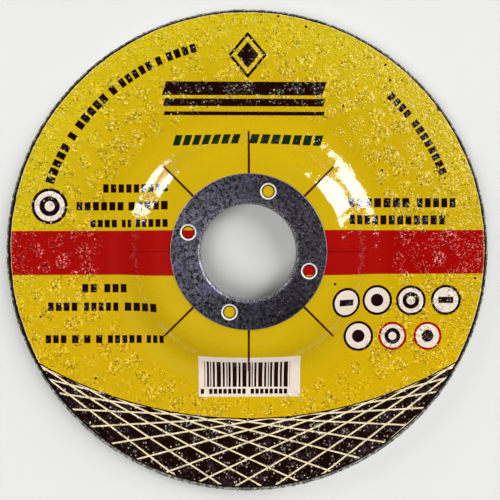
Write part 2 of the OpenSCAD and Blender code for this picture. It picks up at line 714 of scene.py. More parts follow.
@dataclass(frozen=True)
class PrintedPaper:
    """Varnished paper: yellow with a red band, a dark net field, plain bars and roundels."""

    edge_radius: float
    edge_shift: tuple[float, float]
    slit_end: float
    holes: HoleCircle
    band_y: float = -0.23
    band_half: float = 5.21
    band_lean: float = 0.0026
    net_field: NetField = NetField(58.95, 98.72, -39.55, 0.489, 0.1035, 0.38, 0.3)
    small_print: tuple[WordLine, ...] = (
        WordLine(14.9, 2.0, ((-34.4, -18.6),)),
        WordLine(10.7, 2.0, ((-40.7, -29.6), (-28.4, -18.6))),
        WordLine(6.6, 1.8, ((-37.4, -31.2), (-30.0, -27.6), (-26.4, -18.6))),
        WordLine(11.6, 2.2, ((23.2, 38.3), (40.1, 49.4))),
        WordLine(7.5, 2.2, ((23.4, 46.9),)),
        WordLine(-8.7, 2.0, ((-39.4, -36.0), (-34.2, -28.9))),
        WordLine(-13.1, 2.0, ((-47.5, -40.6), (-39.0, -30.9), (-29.4, -21.4))),
        WordLine(-33.35, 1.2, ((-11.4, -10.6), (-9.4, -0.7), (0.5, 9.2))),
        WordLine(-20.8, 1.9, (
            (-48.1, -43.2), (-41.9, -40.3), (-39.0, -37.5), (-36.2, -34.7), (-33.4, -25.4), (-24.2, -20.1),
        )),
    )
    rim_print: tuple[WordArc, ...] = (
        WordArc(49.7, 2.1, (
            (149.6, 161.0), (146.0, 147.6), (132.6, 144.0), (129.2, 130.9), (117.5, 127.6), (114.5, 116.0),
            (104.5, 112.9),
        )),
        WordArc(50.0, 1.9, ((40.2, 48.0), (21.7, 38.2))),
    )
    title_x: float = -1.0
    title_half: float = 19.0
    title_bars: tuple[tuple[float, float], ...] = ((38.6, 3.2), (35.3, 1.8), (32.7, 0.9))
    title_slant: float = 0.3
    subtitle: WordLine = WordLine(26.3, 2.5, ((-17.6, -2.2), (0.4, 17.4)))
    emblem_x: float = -0.2
    emblem_y: float = 46.5
    emblem_half: tuple[float, float] = (4.6, 5.5)
    panel: tuple[float, float, float, float] = (-11.9, 12.3, -34.65, -24.6)
    stripes: tuple[float, float, float, float] = (-10.5, 9.85, -32.3, -25.9)
    roundels: tuple[Roundel, ...] = (
        Roundel(-47.0, 10.7, 4.25, Tone.BLACK, Mark.HOOP),
        Roundel(22.9, -12.0, 3.6, Tone.BLACK, Mark.BAR),
        Roundel(30.7, -11.6, 3.6, Tone.BLACK, Mark.DOT),
        Roundel(38.8, -11.7, 3.6, Tone.BLACK, Mark.HOOP),
        Roundel(47.2, -11.6, 3.6, Tone.BLACK, Mark.BAR),
        Roundel(26.2, -20.2, 3.6, Tone.BLACK, Mark.DOT),
        Roundel(34.4, -20.2, 3.4, Tone.RED, Mark.HOOP),
        Roundel(42.8, -20.2, 3.4, Tone.RED, Mark.DOT),
    )
    pin_holes: tuple[tuple[float, float], ...] = (
        (7.0, 55.7), (13.6, 53.2), (32.5, 44.3), (33.6, 40.7), (31.8, 19.3), (22.4, 34.6), (19.9, -7.5),
        (54.2, -6.4), (-49.2, -15.5), (-36.3, -30.1),
    )
    pin_hole_radius: float = 0.3
    # width of the painted shade ring on the paper inside each of the ring's holes
    paper_hole_shade_width: float = 0.13
    block_pitch: float = 0.95
    block_gap: float = 0.26
    grit_size: float = 0.6
    grit_depth: float = 0.34
    gloss_radius: float = 31.5
    matt_radius: float = 35.0
    lemon_zone: tuple[float, float] = (34.0, 56.0)
    lemon_rise: tuple[float, float] = (-40.0, 45.0)
    lemon_lean: float = -0.4
    amber_zone: tuple[float, float] = (30.0, 36.0)
    amber_fall: tuple[float, float] = (10.0, -25.0)
    stripe_rates: tuple[float, float] = (5.1, 8.3)
    emblem_rim: tuple[float, float] = (0.91, 0.09)
    emblem_core: float = 0.56
    edge_fade: tuple[float, float] = (0.35, 0.05)
    slit_dark_fade: tuple[float, float] = (0.36, 0.2)

    def word(self, along: Field, start: float, end: float, height: float) -> Field:
        """Mask of one word along its line: even blocks that fill it from start to end.

        Args:
            along: place along the line.
            start: where the word starts.
            end: where it ends.
            height: height of the print, which sets the pitch of the blocks.

        Returns:
            The mask, 0 in the gaps between the blocks.
        """
        gap = self.block_gap * height
        count = max(1, round((end - start + gap) / (self.block_pitch * height)))
        pitch = (end - start + gap) / count
        inside = along.near((start + end) / 2, (end - start) / 2)
        return inside * (along - start).math("FLOORED_MODULO", pitch).below(pitch - gap)

    def words(self, coat: Coat, line: WordLine, slant: float = 0.0) -> Field:
        """Mask of one straight line of print.

        Args:
            coat: the material that is being laid.
            line: the line.
            slant: how far the print leans to the right for each millimetre up.

        Returns:
            The mask.
        """
        along = coat.x - (coat.y - line.y) * slant if slant else coat.x
        runs = [self.word(along, start, end, line.height) for start, end in line.words]
        return joined(runs) * coat.y.near(line.y, line.height / 2)

    def curved_words(self, coat: Coat, arc: WordArc) -> Field:
        """Mask of one curved line of print.

        Args:
            coat: the material that is being laid.
            arc: the curved line.

        Returns:
            The mask.
        """
        along = coat.y.math("ARCTAN2", coat.x) * arc.radius
        scale = math.radians(1.0) * arc.radius
        runs = [self.word(along, start * scale, end * scale, arc.height) for start, end in arc.words]
        return joined(runs) * coat.reach(0.0, 0.0).near(arc.radius, arc.height / 2)

    def title(self, coat: Coat) -> Field:
        """Mask of the title: slanting bars, each thinner than the one above.

        Args:
            coat: the material that is being laid.

        Returns:
            The mask.
        """
        bars = [
            (coat.x - (coat.y - middle) * self.title_slant).near(self.title_x, self.title_half)
            * coat.y.near(middle, height / 2)
            for middle, height in self.title_bars
        ]
        return joined(bars)

    def block(self, coat: Coat, edges: tuple[float, float, float, float]) -> Field:
        """Mask of a rectangle.

        Args:
            coat: the material that is being laid.
            edges: its left, right, lower and upper edges.

        Returns:
            The mask.
        """
        left, right, low, high = edges
        across = coat.x.near((left + right) / 2, (right - left) / 2)
        return across * coat.y.near((low + high) / 2, (high - low) / 2)

    def lay_roundel(self, coat: Coat, roundel: Roundel) -> None:
        """Print one roundel: rim, white disc and mark.

        Args:
            coat: the material that is being laid.
            roundel: the roundel.
        """
        far = coat.reach(roundel.x, roundel.y)
        coat.lay(far.below(roundel.radius), roundel.rim)
        coat.lay(far.below(roundel.radius * roundel.face), Tone.WHITE)
        if roundel.mark is Mark.DOT:
            mark = far.below(roundel.radius * roundel.core)
        elif roundel.mark is Mark.HOOP:
            mark = far.near(roundel.radius * roundel.core, roundel.radius * roundel.hoop)
        else:
            half = roundel.radius * roundel.bar
            mark = coat.x.near(roundel.x, half) * coat.y.near(roundel.y, half * roundel.core)
        coat.lay(mark, Tone.BLACK)

    def lay_ground(self, coat: Coat) -> tuple[Field, Field]:
        """Print the fields of colour: yellow paper, red band and dark net field.

        Args:
            coat: the material that is being laid.

        Returns:
            The masks of the band and of the dark field.
        """
        outward = coat.reach(0.0, 0.0)
        coat.lay(None, Tone.YELLOW)
        rise = (coat.y + coat.x * self.lemon_lean).ramp(*self.lemon_rise)
        coat.lay(outward.ramp(*self.lemon_zone) * rise, Tone.LEMON)
        coat.lay(outward.ramp(*self.amber_zone) * coat.y.ramp(*self.amber_fall), Tone.AMBER)
        band = (coat.y - coat.x * self.band_lean).near(self.band_y, self.band_half)
        coat.lay(band, Tone.RED)
        field, lines = self.net_field.masks(coat)
        coat.lay(field, Tone.NIGHT)
        coat.lay(field * coat.noise(2.2, 3.0).ramp(0.5, 0.72) * 0.6, Tone.NIGHT_VIOLET)
        coat.lay(lines, Tone.PALE_LINE)
        return band, field

    def lay_figures(self, coat: Coat) -> None:
        """Print the stripes, roundels, rows of blocks, title and lozenge over the fields.

        Args:
            coat: the material that is being laid.
        """
        coat.lay(self.block(coat, self.panel), Tone.WHITE)
        slow, fast = self.stripe_rates
        beat = (coat.x * slow).math("SINE") + (coat.x * fast + 0.6).math("SINE")
        coat.lay(self.block(coat, self.stripes) * beat.above(-0.3), Tone.BLACK)
        for roundel in self.roundels:
            self.lay_roundel(coat, roundel)
        for line in self.small_print:
            coat.lay(self.words(coat, line), Tone.BLACK)
        for arc in self.rim_print:
            coat.lay(self.curved_words(coat, arc), Tone.BLACK)
        coat.lay(self.title(coat), Tone.BLACK)
        coat.lay(self.words(coat, self.subtitle, self.title_slant), Tone.BOTTLE_GREEN)
        wide, tall = self.emblem_half
        lozenge = (coat.x - self.emblem_x).math("ABSOLUTE") * (1.0 / wide)
        lozenge = lozenge + (coat.y - self.emblem_y).math("ABSOLUTE") * (1.0 / tall)
        coat.lay(lozenge.near(*self.emblem_rim) | lozenge.below(self.emblem_core), Tone.BLACK)

    def mark_wear_and_light(self, coat: Coat, band: Field, field: Field) -> None:
        """Press the grain through the paper and mark pin holes; paint shade round the ring's holes and
        highlights and shade on the grain; lay a pale line along the edge and a dark red-brown strip along the
        slits.

        Args:
            coat: the material that is being laid.
            band: mask of the red band.
            field: mask of the dark field.
        """
        for x, y in self.pin_holes:
            coat.lay(coat.reach(x, y).below(self.pin_hole_radius), Tone.RESIN)
        # painted shade: a dark ring on the paper just inside each of the ring's holes
        for far in self.holes.reaches(coat):
            coat.lay(far.near(self.holes.hole_radius, self.paper_hole_shade_width) * 0.8, Tone.SHADE)
        grit = coat.stored("grit")
        emboss = coat.stored("emboss")
        off, chance = coat.cells(self.grit_size)
        ragged = coat.noise(0.45, 2.0).ramp(0.38, 0.6)
        # painted highlights: small glint flecks on the grain, pink on the red band, white on the dark field
        # and cream elsewhere
        glint_flecks = off.ramp(0.46, 0.2) * chance.near(0.3, 0.2) * grit.ramp(0.15, 0.5) * ragged
        # painted highlights: white on the tops of the embossed grain, stronger on the dark field
        coat.lay(emboss.ramp(0.4, 0.8) * (field * 0.3 + 0.09), Tone.WHITE)
        # painted highlights: pink on the tops of the embossed grain in the red band
        coat.lay(emboss.ramp(0.3, 0.6) * ragged * band * 0.75, Tone.PINK)
        coat.lay(glint_flecks * band * 0.7, Tone.PINK)
        coat.lay(glint_flecks * field * 0.95, Tone.WHITE)
        coat.lay(glint_flecks * (field | band).gain(-1.0) * 0.75, Tone.CREAM)
        fade_from, fade_to = (self.edge_radius - fade for fade in self.edge_fade)
        edge = coat.reach(*self.edge_shift).ramp(fade_from, fade_to)
        coat.lay(edge * (field * -0.4 + 0.4), Tone.CREAM)
        outward = coat.reach(0.0, 0.0)
        # dark red-brown strip laid on the paper along each open slit, fading away from it
        sector = coat.y.math("ARCTAN2", coat.x) * (1.0 / SECTOR_ANGLE)
        aside = sector.math("PINGPONG", 0.5) * outward * SECTOR_ANGLE
        slit_dark = aside.ramp(*self.slit_dark_fade) * outward.below(self.slit_end) * band.gain(-1.0)
        coat.lay(slit_dark * 0.6, Tone.SLIT_BROWN)
        coat.lay(coat.stored("cut_edge"), Tone.PAPER_CORE)
        # painted light and shade on the grain: lighter on the embossed tops, darker on the pressed paper
        # between them, and much darker in small spots that stand for shaded pits
        pit_shade = off.ramp(0.48, 0.28) * chance.above(0.78) * grit.ramp(0.1, 0.45) * ragged
        coat.tint(((emboss - grit * 0.2) * 1.15 + 1.0) * pit_shade.gain(-0.7))
        grain = off.ramp(0.62, 0.08) * (chance * 0.7 + 0.3)
        coat.bump(grain * grit + coat.noise(0.25, 2.0) * 0.006, self.grit_depth)

    def material(self) -> bpy.types.Material:
        """Lay the inks, add wear and painted light and shade, and varnish the paper: glossy on the hub,
        nearly matt further out.

        Returns:
            The label's material.
        """
        coat = Coat("printed_paper")
        band, field = self.lay_ground(coat)
        self.lay_figures(coat)
        self.mark_wear_and_light(coat, band, field)
        matt = coat.reach(0.0, 0.0).ramp(self.gloss_radius, self.matt_radius)
        mottle = coat.noise(9.0, 3.0) * 0.12 + 0.94
        coat.tint(mottle * matt.gain(-0.13))
        coat.feed("Roughness", coat.noise(4.0, 2.0) * 0.14 + 0.5)
        coat.feed("Specular IOR Level", 0.0)
        coat.feed("Coat Weight", matt.gain(-0.75))
        coat.feed("Coat Roughness", 0.07)
        coat.feed("Coat IOR", 2.0)
        return coat.done()


@dataclass(frozen=True)
class BondedAbrasive:
    """Grain in dark resin, dusty along the rim, with the reinforcing net showing underneath."""

    label_radius: float
    grain_size: float = 0.75
    dust_lean: float = 0.55
    dust_side: tuple[float, float] = (25.0, 55.0)
    dust_edge: tuple[float, float] = (0.38, 0.62)
    resin_zone: tuple[float, float] = (34.0, 36.0)

    def material(self) -> bpy.types.Material:
        """Mix resin, grain, yarn and dust.

        Returns:
            The abrasive's material.
        """
        coat = Coat("bonded_abrasive")
        outward = coat.reach(0.0, 0.0)
        off, chance = coat.cells(self.grain_size)
        fine = coat.noise(0.3, 3.0, 0.65)
        bare = coat.stored("bare")
        coat.lay(None, Tone.SHADE)
        coat.lay(bare | outward.ramp(*self.resin_zone), Tone.RESIN)
        coat.lay(off.ramp(0.55, 0.2) * chance.ramp(0.25, 0.8) * bare, Tone.GRAIN)
        coat.lay(coat.stored("yarn") * (fine * 0.5 + 0.3), Tone.YARN)
        reached = outward + (coat.y * -1.0).ramp(*self.dust_side) * self.dust_lean
        dust_from, dust_to = (self.label_radius + edge for edge in self.dust_edge)
        dusty = reached.ramp(dust_from, dust_to) * coat.noise(1.6, 3.0).ramp(0.12, 0.42)
        coat.lay(dusty * (fine * 0.6 + 0.5) * bare, Tone.DUST)
        coat.tint(coat.noise(7.0, 2.0) * 0.5 + 0.75)
        # random tone for each grain, and painted shade that darkens the abrasive between the grains
        coat.tint((chance * 0.8 + 0.5) * (off.ramp(0.72, 0.3) * 0.7 + 0.4))
        coat.bump(off * -0.7 + fine * 0.5 + 0.7, 0.2)
        coat.feed("Roughness", fine * 0.3 + 0.55)
        coat.feed("Specular IOR Level", 0.15)
        return coat.done()


@dataclass(frozen=True)
class TinnedSheet:
    """Pressed tinned steel, dark and mottled, with painted highlights along its bent and punched edges and
    painted shade at its holes.
    """

    bore_radius: float
    flange_radius: float
    holes: HoleCircle
    # width of the painted highlight round each hole
    hole_glint_width: float = 0.53
    # width of the painted shade at the inner edge of each hole
    hole_edge_shade_width: float = 0.17
    speck_size: float = 0.5
    side_fade: tuple[float, float] = (-14.0, 14.0)
    low_fade: tuple[float, float] = (5.0, 16.0)
    high_fade: tuple[float, float] = (9.0, 16.0)
    bore_glint: tuple[float, float] = (0.9, 0.2)
    rim_glint: tuple[float, float] = (0.22, 0.08)

    def material(self) -> bpy.types.Material:
        """Mottle the sheet, then paint highlights along its edges and shade round its holes.

        Returns:
            The ring's material.
        """
        coat = Coat("tinned_sheet")
        outward = coat.reach(0.0, 0.0)
        fine = coat.noise(0.28, 3.0, 0.6)
        cloud = coat.noise(0.8, 4.0, 0.75)
        off, chance = coat.cells(self.speck_size)
        coat.lay(None, Tone.TIN_SHADE)
        coat.lay(cloud.ramp(0.38, 0.64), Tone.TIN)
        coat.lay(coat.noise(3.2, 2.0).ramp(0.5, 0.75) * 0.5, Tone.TIN_GREEN)
        # painted sheen: pale violet patches over the metal
        coat.lay(coat.noise(5.0, 2.0).ramp(0.52, 0.7) * 0.5, Tone.VIOLET_SHEEN)
        # darker and warmer towards +X, and darker towards the top and the bottom
        side = coat.x.ramp(*self.side_fade)
        low = (coat.y * -1.0).ramp(*self.low_fade)
        high = coat.y.ramp(*self.high_fade)
        coat.lay(side * 0.5, Tone.WARM_GREY)
        coat.tint((fine * 2.4 - 0.1) * (side * -0.48 + 0.95) * low.gain(-0.45) * high.gain(-0.38))
        coat.lay(off.ramp(0.42, 0.15) * chance.above(0.86) * 0.4, Tone.SPECK_AND_GLINT)
        # painted highlights: white glints along the bore's edge, the outer edge and round each hole, where
        # the sheet is also made less metallic
        bore_from, bore_to = (self.bore_radius + width for width in self.bore_glint)
        rim_from, rim_to = (self.flange_radius - width for width in self.rim_glint)
        reaches = self.holes.reaches(coat)
        hole_glints = joined([far.below(self.holes.hole_radius + self.hole_glint_width) for far in reaches])
        hole_edge_shade = joined([far.below(self.holes.hole_radius + self.hole_edge_shade_width) for far in reaches])
        bright = outward.ramp(bore_from, bore_to) * fine.ramp(0.5, 0.62) * 0.8
        bright = bright | outward.ramp(rim_from, rim_to) * 0.35 | hole_glints
        coat.lay(bright, Tone.SPECK_AND_GLINT)
        # painted shade: a dark ring at the inner edge of each hole
        coat.lay(hole_edge_shade, Tone.SHADE)
        coat.bump(fine, 0.012)
        coat.feed("Metallic", bright.gain(-0.8))
        coat.feed("Roughness", fine * 0.25 + 0.42)
        return coat.done()


@dataclass
class AbrasiveDisc:
    """The moulded disc: one closed profile carried round the axis, roughened by grain and net."""

    section: HubSection
    rim_radius: float
    label_radius: float
    seat_radius: float
    finish: BondedAbrasive
    seat_chamfer: float = 0.35
    rim_bevel: float = 0.2
    cover_radius: float = 56.0
    columns: int = 800
    over_steps: tuple[int, ...] = (3, 15, 4, 8)
    wall_rows: int = 14
    under_steps: tuple[int, ...] = (33, 15, 9)
    bore_rows: int = 3
    rim_grain: Grain = Grain(0.75, 0.62, 1.5, False)
    net: Net = Net(4.75, 1.5, 25.0)
    rim_depth: float = 0.2
    net_depth: float = 0.16
    net_margin: tuple[float, float] = (1.6, 0.6)
    edge_rough: float = 0.6
    under_rough: float = 0.45
    bore_rough: float = 0.2

    def profile(self) -> tuple[np.ndarray, np.ndarray, np.ndarray, int]:
        """Closed section, from the bore's upper edge out over the top, down the rim and back underneath.

        Returns:
            Radius and height of its points, how rough each is, 1 for each on the underside and 0 elsewhere,
            and the number of points on the upper face.
        """
        wall = self.section
        flat_r = self.rim_radius - self.rim_bevel
        hub_r, foot_r = wall.hub_bend[0], wall.foot_bend[0]
        seat_r = self.seat_radius + self.seat_chamfer
        over = stepped((seat_r, hub_r, foot_r, self.cover_radius, flat_r), self.over_steps)
        wall_z = np.linspace(wall.thickness - self.rim_bevel, self.rim_bevel, self.wall_rows)
        under = stepped((flat_r, foot_r, hub_r, self.seat_radius), self.under_steps)
        bore_top = wall.rise + wall.thickness - self.seat_chamfer
        bore_z = stepped((wall.rise, bore_top), (self.bore_rows,))[1:]
        radius = np.concatenate([
            over, np.full_like(wall_z, self.rim_radius), under, np.full_like(bore_z, self.seat_radius),
        ])
        height = np.concatenate([
            wall.height(over, 0.0), wall_z, wall.height(under, -wall.thickness), bore_z,
        ])
        rough = np.concatenate([
            self.edge_rough * smooth_step(self.label_radius, self.label_radius + 0.4, over),
            np.ones_like(wall_z),
            self.under_rough + (1.0 - self.under_rough) * smooth_step(foot_r, flat_r, under),
            np.full_like(bore_z, self.bore_rough),
        ])
        counts = (len(over), len(wall_z), len(under), len(bore_z))
        below = np.repeat([0.0, 0.0, 1.0, 0.0], counts)
        return np.stack([radius, height], axis=-1), rough, below, len(over)

    def build(self) -> bpy.types.Object:
        """Carry the profile round the axis and sink its skin between the grains.

        Each point of the profile goes round the axis, then moves inwards along the profile's normal by the
        depth of the hollow between grains, and on the underside by the depth of the net's windows.

        Returns:
            The disc, dressed.
        """
        path, rough, below, over_rows = self.profile()
        rows = len(path)
        along = np.roll(path, -1, axis=0) - np.roll(path, 1, axis=0)
        normal = np.stack([-along[:, 1], along[:, 0]], axis=-1)
        normal /= np.linalg.norm(normal, axis=-1, keepdims=True)
        angle = np.linspace(0.0, 2.0 * math.pi, self.columns, endpoint=False)[:, None]
        spread = about_axis(path[:, 0], angle, path[:, 1]).reshape(-1, 3)
        far = np.tile(path[:, 0], self.columns)
        rough = np.tile(rough, self.columns)
        below = np.tile(below, self.columns)
        hollow = 1.0 - self.rim_grain.height(spread, lambda centre: np.ones(len(centre)))
        net = self.net.relief(spread)
        fading, end = (self.rim_radius - margin for margin in self.net_margin)
        netted = below * (1.0 - smooth_step(fading, end, far))
        yarn = net * netted
        depth = self.rim_depth * rough * hollow * (1.0 - 0.7 * yarn) + self.net_depth * netted * (1.0 - net)
        outward = about_axis(normal[:, 0], angle, normal[:, 1]).reshape(-1, 3)
        points = spread - outward * depth[:, None]
        number = np.arange(self.columns * rows).reshape(self.columns, rows)
        side, ahead = np.roll(number, -1, axis=0), np.roll(number, -1, axis=1)
        both = np.roll(side, -1, axis=1)
        quads = np.stack([number, ahead, both, side], axis=-1).reshape(-1, 4)
        row = np.broadcast_to(np.arange(rows), number.shape).reshape(-1)
        flat = self.flat_map(points, quads, row, over_rows)
        surface = Surface(points, quads, np.zeros((0, 3), int), flat, np.zeros((0, 3, 2)))
        piece = surface.to_object("abrasive_disc", 60.0)
        store_numbers(piece, "yarn", yarn)
        store_numbers(piece, "bare", np.clip(rough * 3.0, 0.0, 1.0))
        piece.data.materials.append(self.finish.material())
        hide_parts("abrasive_wheel")
        return piece

    def flat_map(self, points: np.ndarray, quads: np.ndarray, row: np.ndarray, over_rows: int) -> np.ndarray:
        """Lay the skin out flat: the underside as a large disc, the upper face and the walls in the corners.

        Args:
            points: the disc's vertices.
            quads: its faces.
            row: the profile row of each face's first corner.
            over_rows: number of profile rows on the upper face.

        Returns:
            A place in the unit square for each face corner.
        """
        rows = int(row.max()) + 1
        wall_end = over_rows + self.wall_rows
        first = rows - self.bore_rows - 1
        plan = points[quads][..., :2] / self.rim_radius
        turn = np.arctan2(plan[..., 1], plan[..., 0])
        unit = np.stack([np.cos(turn), np.sin(turn)], axis=-1)
        corner_row = quads % rows
        flat = 0.5 + plan * 0.49
        on_top = row < over_rows - 1
        flat[on_top] = LOW_CORNER + plan[on_top] * CORNER_REACH
        on_rim = (row >= over_rows - 1) & (row < wall_end)
        rim_share = (corner_row[on_rim] - over_rows + 1) / (self.wall_rows + 1)
        in_bore = row >= first
        bore_share = ((corner_row[in_bore] - first) % rows) / (rows - first)
        for faces, share, corner in (
            (on_rim, rim_share, (HIGH_CORNER, LOW_CORNER)),
            (in_bore, bore_share, (LOW_CORNER, HIGH_CORNER)),
        ):
            flat[faces] = np.array(corner) + unit[faces] * (0.03 + 0.05 * share)[..., None]
        return flat


@dataclass
class PaperLabel:
    """The paper disc: eight sectors parted by slits on the hub, whole beyond them, embossed by the grain."""

    section: HubSection
    inner_radius: float
    outer_radius: float
    thickness: float
    trim: float
    shift: tuple[float, float]
    finish: PrintedPaper
    slit_short: float = 0.6
    slit_width: float = 0.6
    slit_tip_width: float = 0.35
    shut_width: float = 0.12
    clamp_radius: float = 18.0
    fine_from: float = 34.0
    slit_steps: tuple[int, ...] = (3, 19)
    upper_steps: tuple[int, ...] = (12,)
    lower_steps: tuple[int, ...] = (5, 3)
    coarse_columns: int = 64
    bottom_columns: int = 16
    fine_rows: int = 72
    grain: Grain = Grain(0.66, 0.48, 1.7, True)
    net: Net = Net(4.75, 0.75, 25.0)
    emboss_depth: float = 0.34
    stiff_reach: float = 1.7
    wave_height: float = 0.024
    curl_height: float = 0.08
    curl_reach: float = 1.3
    wave_zone: tuple[float, float, float, float] = (19.5, 22.5, 30.0, 33.0)
    grain_zone: tuple[float, float] = (33.0, 38.0)
    rim_zone: tuple[float, float] = (46.0, 53.0)
    slope_zone: tuple[float, float, float, float] = (21.5, 24.0, 31.0, 33.0)
    edge_waves: tuple[tuple[float, float, float], ...] = (
        (0.03, 23.0, 0.0), (0.025, 61.0, 1.0), (0.02, 7.0, 2.0),
    )
    slope_press: float = 0.06
    curl_fade: float = 3.0
    nick_deg: float = 36.9
    nick_width_deg: float = 0.5
    nick_depth: float = 0.5

    @property
    def slit_end(self) -> float:
        """Radius at which the slits end."""
        return self.section.foot_radius - self.slit_short

    def half_gap(self, radius: np.ndarray) -> np.ndarray:
        """Half the angle that each slit takes: half its width over the radius, and none beyond its end.

        Args:
            radius: distances from the axis.

        Returns:
            One row for each slit; the two that lie along X have stayed shut.
        """
        share = np.clip((radius - self.inner_radius) / (self.slit_end - self.inner_radius), 0.0, 1.0)
        open_width = self.slit_width + (self.slit_tip_width - self.slit_width) * share
        shut = np.arange(SECTORS) % (SECTORS // 2) == 0
        width = np.where(shut[:, None], self.shut_width, open_width)
        return np.where(radius < self.slit_end - 1e-6, width / 2.0 / radius, 0.0)

    def spread(self, radius: np.ndarray, columns: int) -> np.ndarray:
        """Angles of a grid in eight sectors: each runs from one slit's edge to the next one's.

        Args:
            radius: radii of the grid's rows.
            columns: columns in a sector.

        Returns:
            Angles by sector, column and row.
        """
        gap = self.half_gap(radius)
        share = np.linspace(0.0, 1.0, columns + 1)[None, :, None]
        slit = np.arange(SECTORS)[:, None]
        start = (SECTOR_ANGLE * slit + gap)[:, None, :]
        end = (SECTOR_ANGLE * (slit + 1) - np.roll(gap, -1, axis=0))[:, None, :]
        return start + (end - start) * share

    def pressed(self, places: np.ndarray) -> np.ndarray:
        """How strongly the grain under the paper shows, from 0 to 1.

        Smooth round the hub, faint on the slope, in clusters in the net's windows further out, and more even
        towards the rim.

        Args:
            places: places on the label.

        Returns:
            The strength at each place.
        """
        far = np.hypot(places[:, 0], places[:, 1])
        window = self.net.window(places)
        near_rim = smooth_step(*self.rim_zone, far)
        outer = smooth_step(*self.grain_zone, far) * (1.0 - 0.25 * near_rim) * window
        rim = near_rim * (0.25 + 0.35 * window)
        slope = self.slope_press * plateau(self.slope_zone, far)
        return np.maximum(np.maximum(outer, rim), slope)

    def emboss(self, points: np.ndarray) -> np.ndarray:
        """Height from 0 to 1 to which the grain under the paper lifts it.

        Args:
            points: places on the label.

        Returns:
            The height at each place.
        """
        flat = points.copy()
        flat[:, 2] = 0.0
        return self.grain.height(flat, self.pressed)

    def draped(self, radius: np.ndarray) -> np.ndarray:
        """Height of the stiff paper's upper face: the wall's mean height over the paper's stiff reach."""
        around = np.linspace(-self.stiff_reach, self.stiff_reach, 9)
        return self.section.height(radius[:, None] + around, self.thickness).mean(axis=-1)

    def wrinkle(self, points: np.ndarray) -> np.ndarray:
        """Height of the paper's own unevenness on the slope: low waves, and curls along the open slits.

        The waves are a product of two sines of the place. The curl dies away with the distance from the slit.

        Args:
            points: places on the label.

        Returns:
            The height in millimetres at each place.
        """
        x, y = points[:, 0], points[:, 1]
        far = np.hypot(x, y)
        share = np.arctan2(y, x) / SECTOR_ANGLE
        slit = np.round(share)
        aside = np.abs(share - slit) * SECTOR_ANGLE * far
        is_open = np.mod(slit, SECTORS // 2) != 0
        wave = 1.0 + np.sin(x * 1.7 + 0.8 * np.sin(y * 1.1)) * np.sin(y * 1.9 + 0.5)
        inside = 1.0 - smooth_step(self.slit_end - self.curl_fade, self.slit_end, far)
        curl = is_open * np.exp(-aside / self.curl_reach) * inside
        return plateau(self.wave_zone, far) * (self.wave_height * wave + self.curl_height * curl)

    def edge_radius(self, angle: np.ndarray) -> np.ndarray:
        """Outer edge of the paper: a circle, a little off centre and uneven, with one nick.

        Args:
            angle: angles in radians.

        Returns:
            The radius at each angle.
        """
        wave = sum(height * np.sin(angle * rate + start) for height, rate, start in self.edge_waves)
        away = (np.degrees(angle) - self.nick_deg) / self.nick_width_deg
        shifted = self.shift[0] * np.cos(angle) + self.shift[1] * np.sin(angle)
        return self.outer_radius - self.trim + shifted + wave - self.nick_depth * np.exp(-(away**2))

    @staticmethod
    def numbering(first: int, columns: int, rows: int, split_rows: int) -> tuple[np.ndarray, int]:
        """Number the vertices of eight sectors, which share their seams beyond the slits.

        Args:
            first: number of the first vertex.
            columns: columns in a sector.
            rows: rows in a sector.
            split_rows: rows at the start where neighbours don't share a seam.

        Returns:
            Vertex numbers by sector, column and row, and the next free number.
        """
        own = first + np.arange(SECTORS * columns * rows).reshape(SECTORS, columns, rows)
        free = first + own.size
        loose = free + np.arange(SECTORS * split_rows).reshape(SECTORS, split_rows)
        shared = np.roll(own[:, 0, split_rows:], -1, axis=0)
        last = np.concatenate([loose, shared], axis=1)[:, None, :]
        return np.concatenate([own, last], axis=1), free + loose.size

    @staticmethod
    def fan(coarse: np.ndarray, fine: np.ndarray) -> np.ndarray:
        """Join a coarse edge to a fine one, as a fan from each coarse vertex and one closing triangle.

        Args:
            coarse: vertex numbers along the coarse edge.
            fine: vertex numbers along the fine edge, a whole number of times as many steps.

        Returns:
            The triangles.
        """
        ratio = (len(fine) - 1) // (len(coarse) - 1)
        half = ratio // 2
        groups = np.arange(len(coarse) - 1)[:, None] * ratio + np.arange(ratio)
        hub = np.where(np.arange(ratio) < half, coarse[:-1, None], coarse[1:, None])
        fans = np.stack([hub, fine[groups], fine[groups + 1]], axis=-1).reshape(-1, 3)
        middle = fine[np.arange(len(coarse) - 1) * ratio + half]
        closing = np.stack([coarse[:-1], middle, coarse[1:]], axis=-1)
        return np.concatenate([fans, closing])

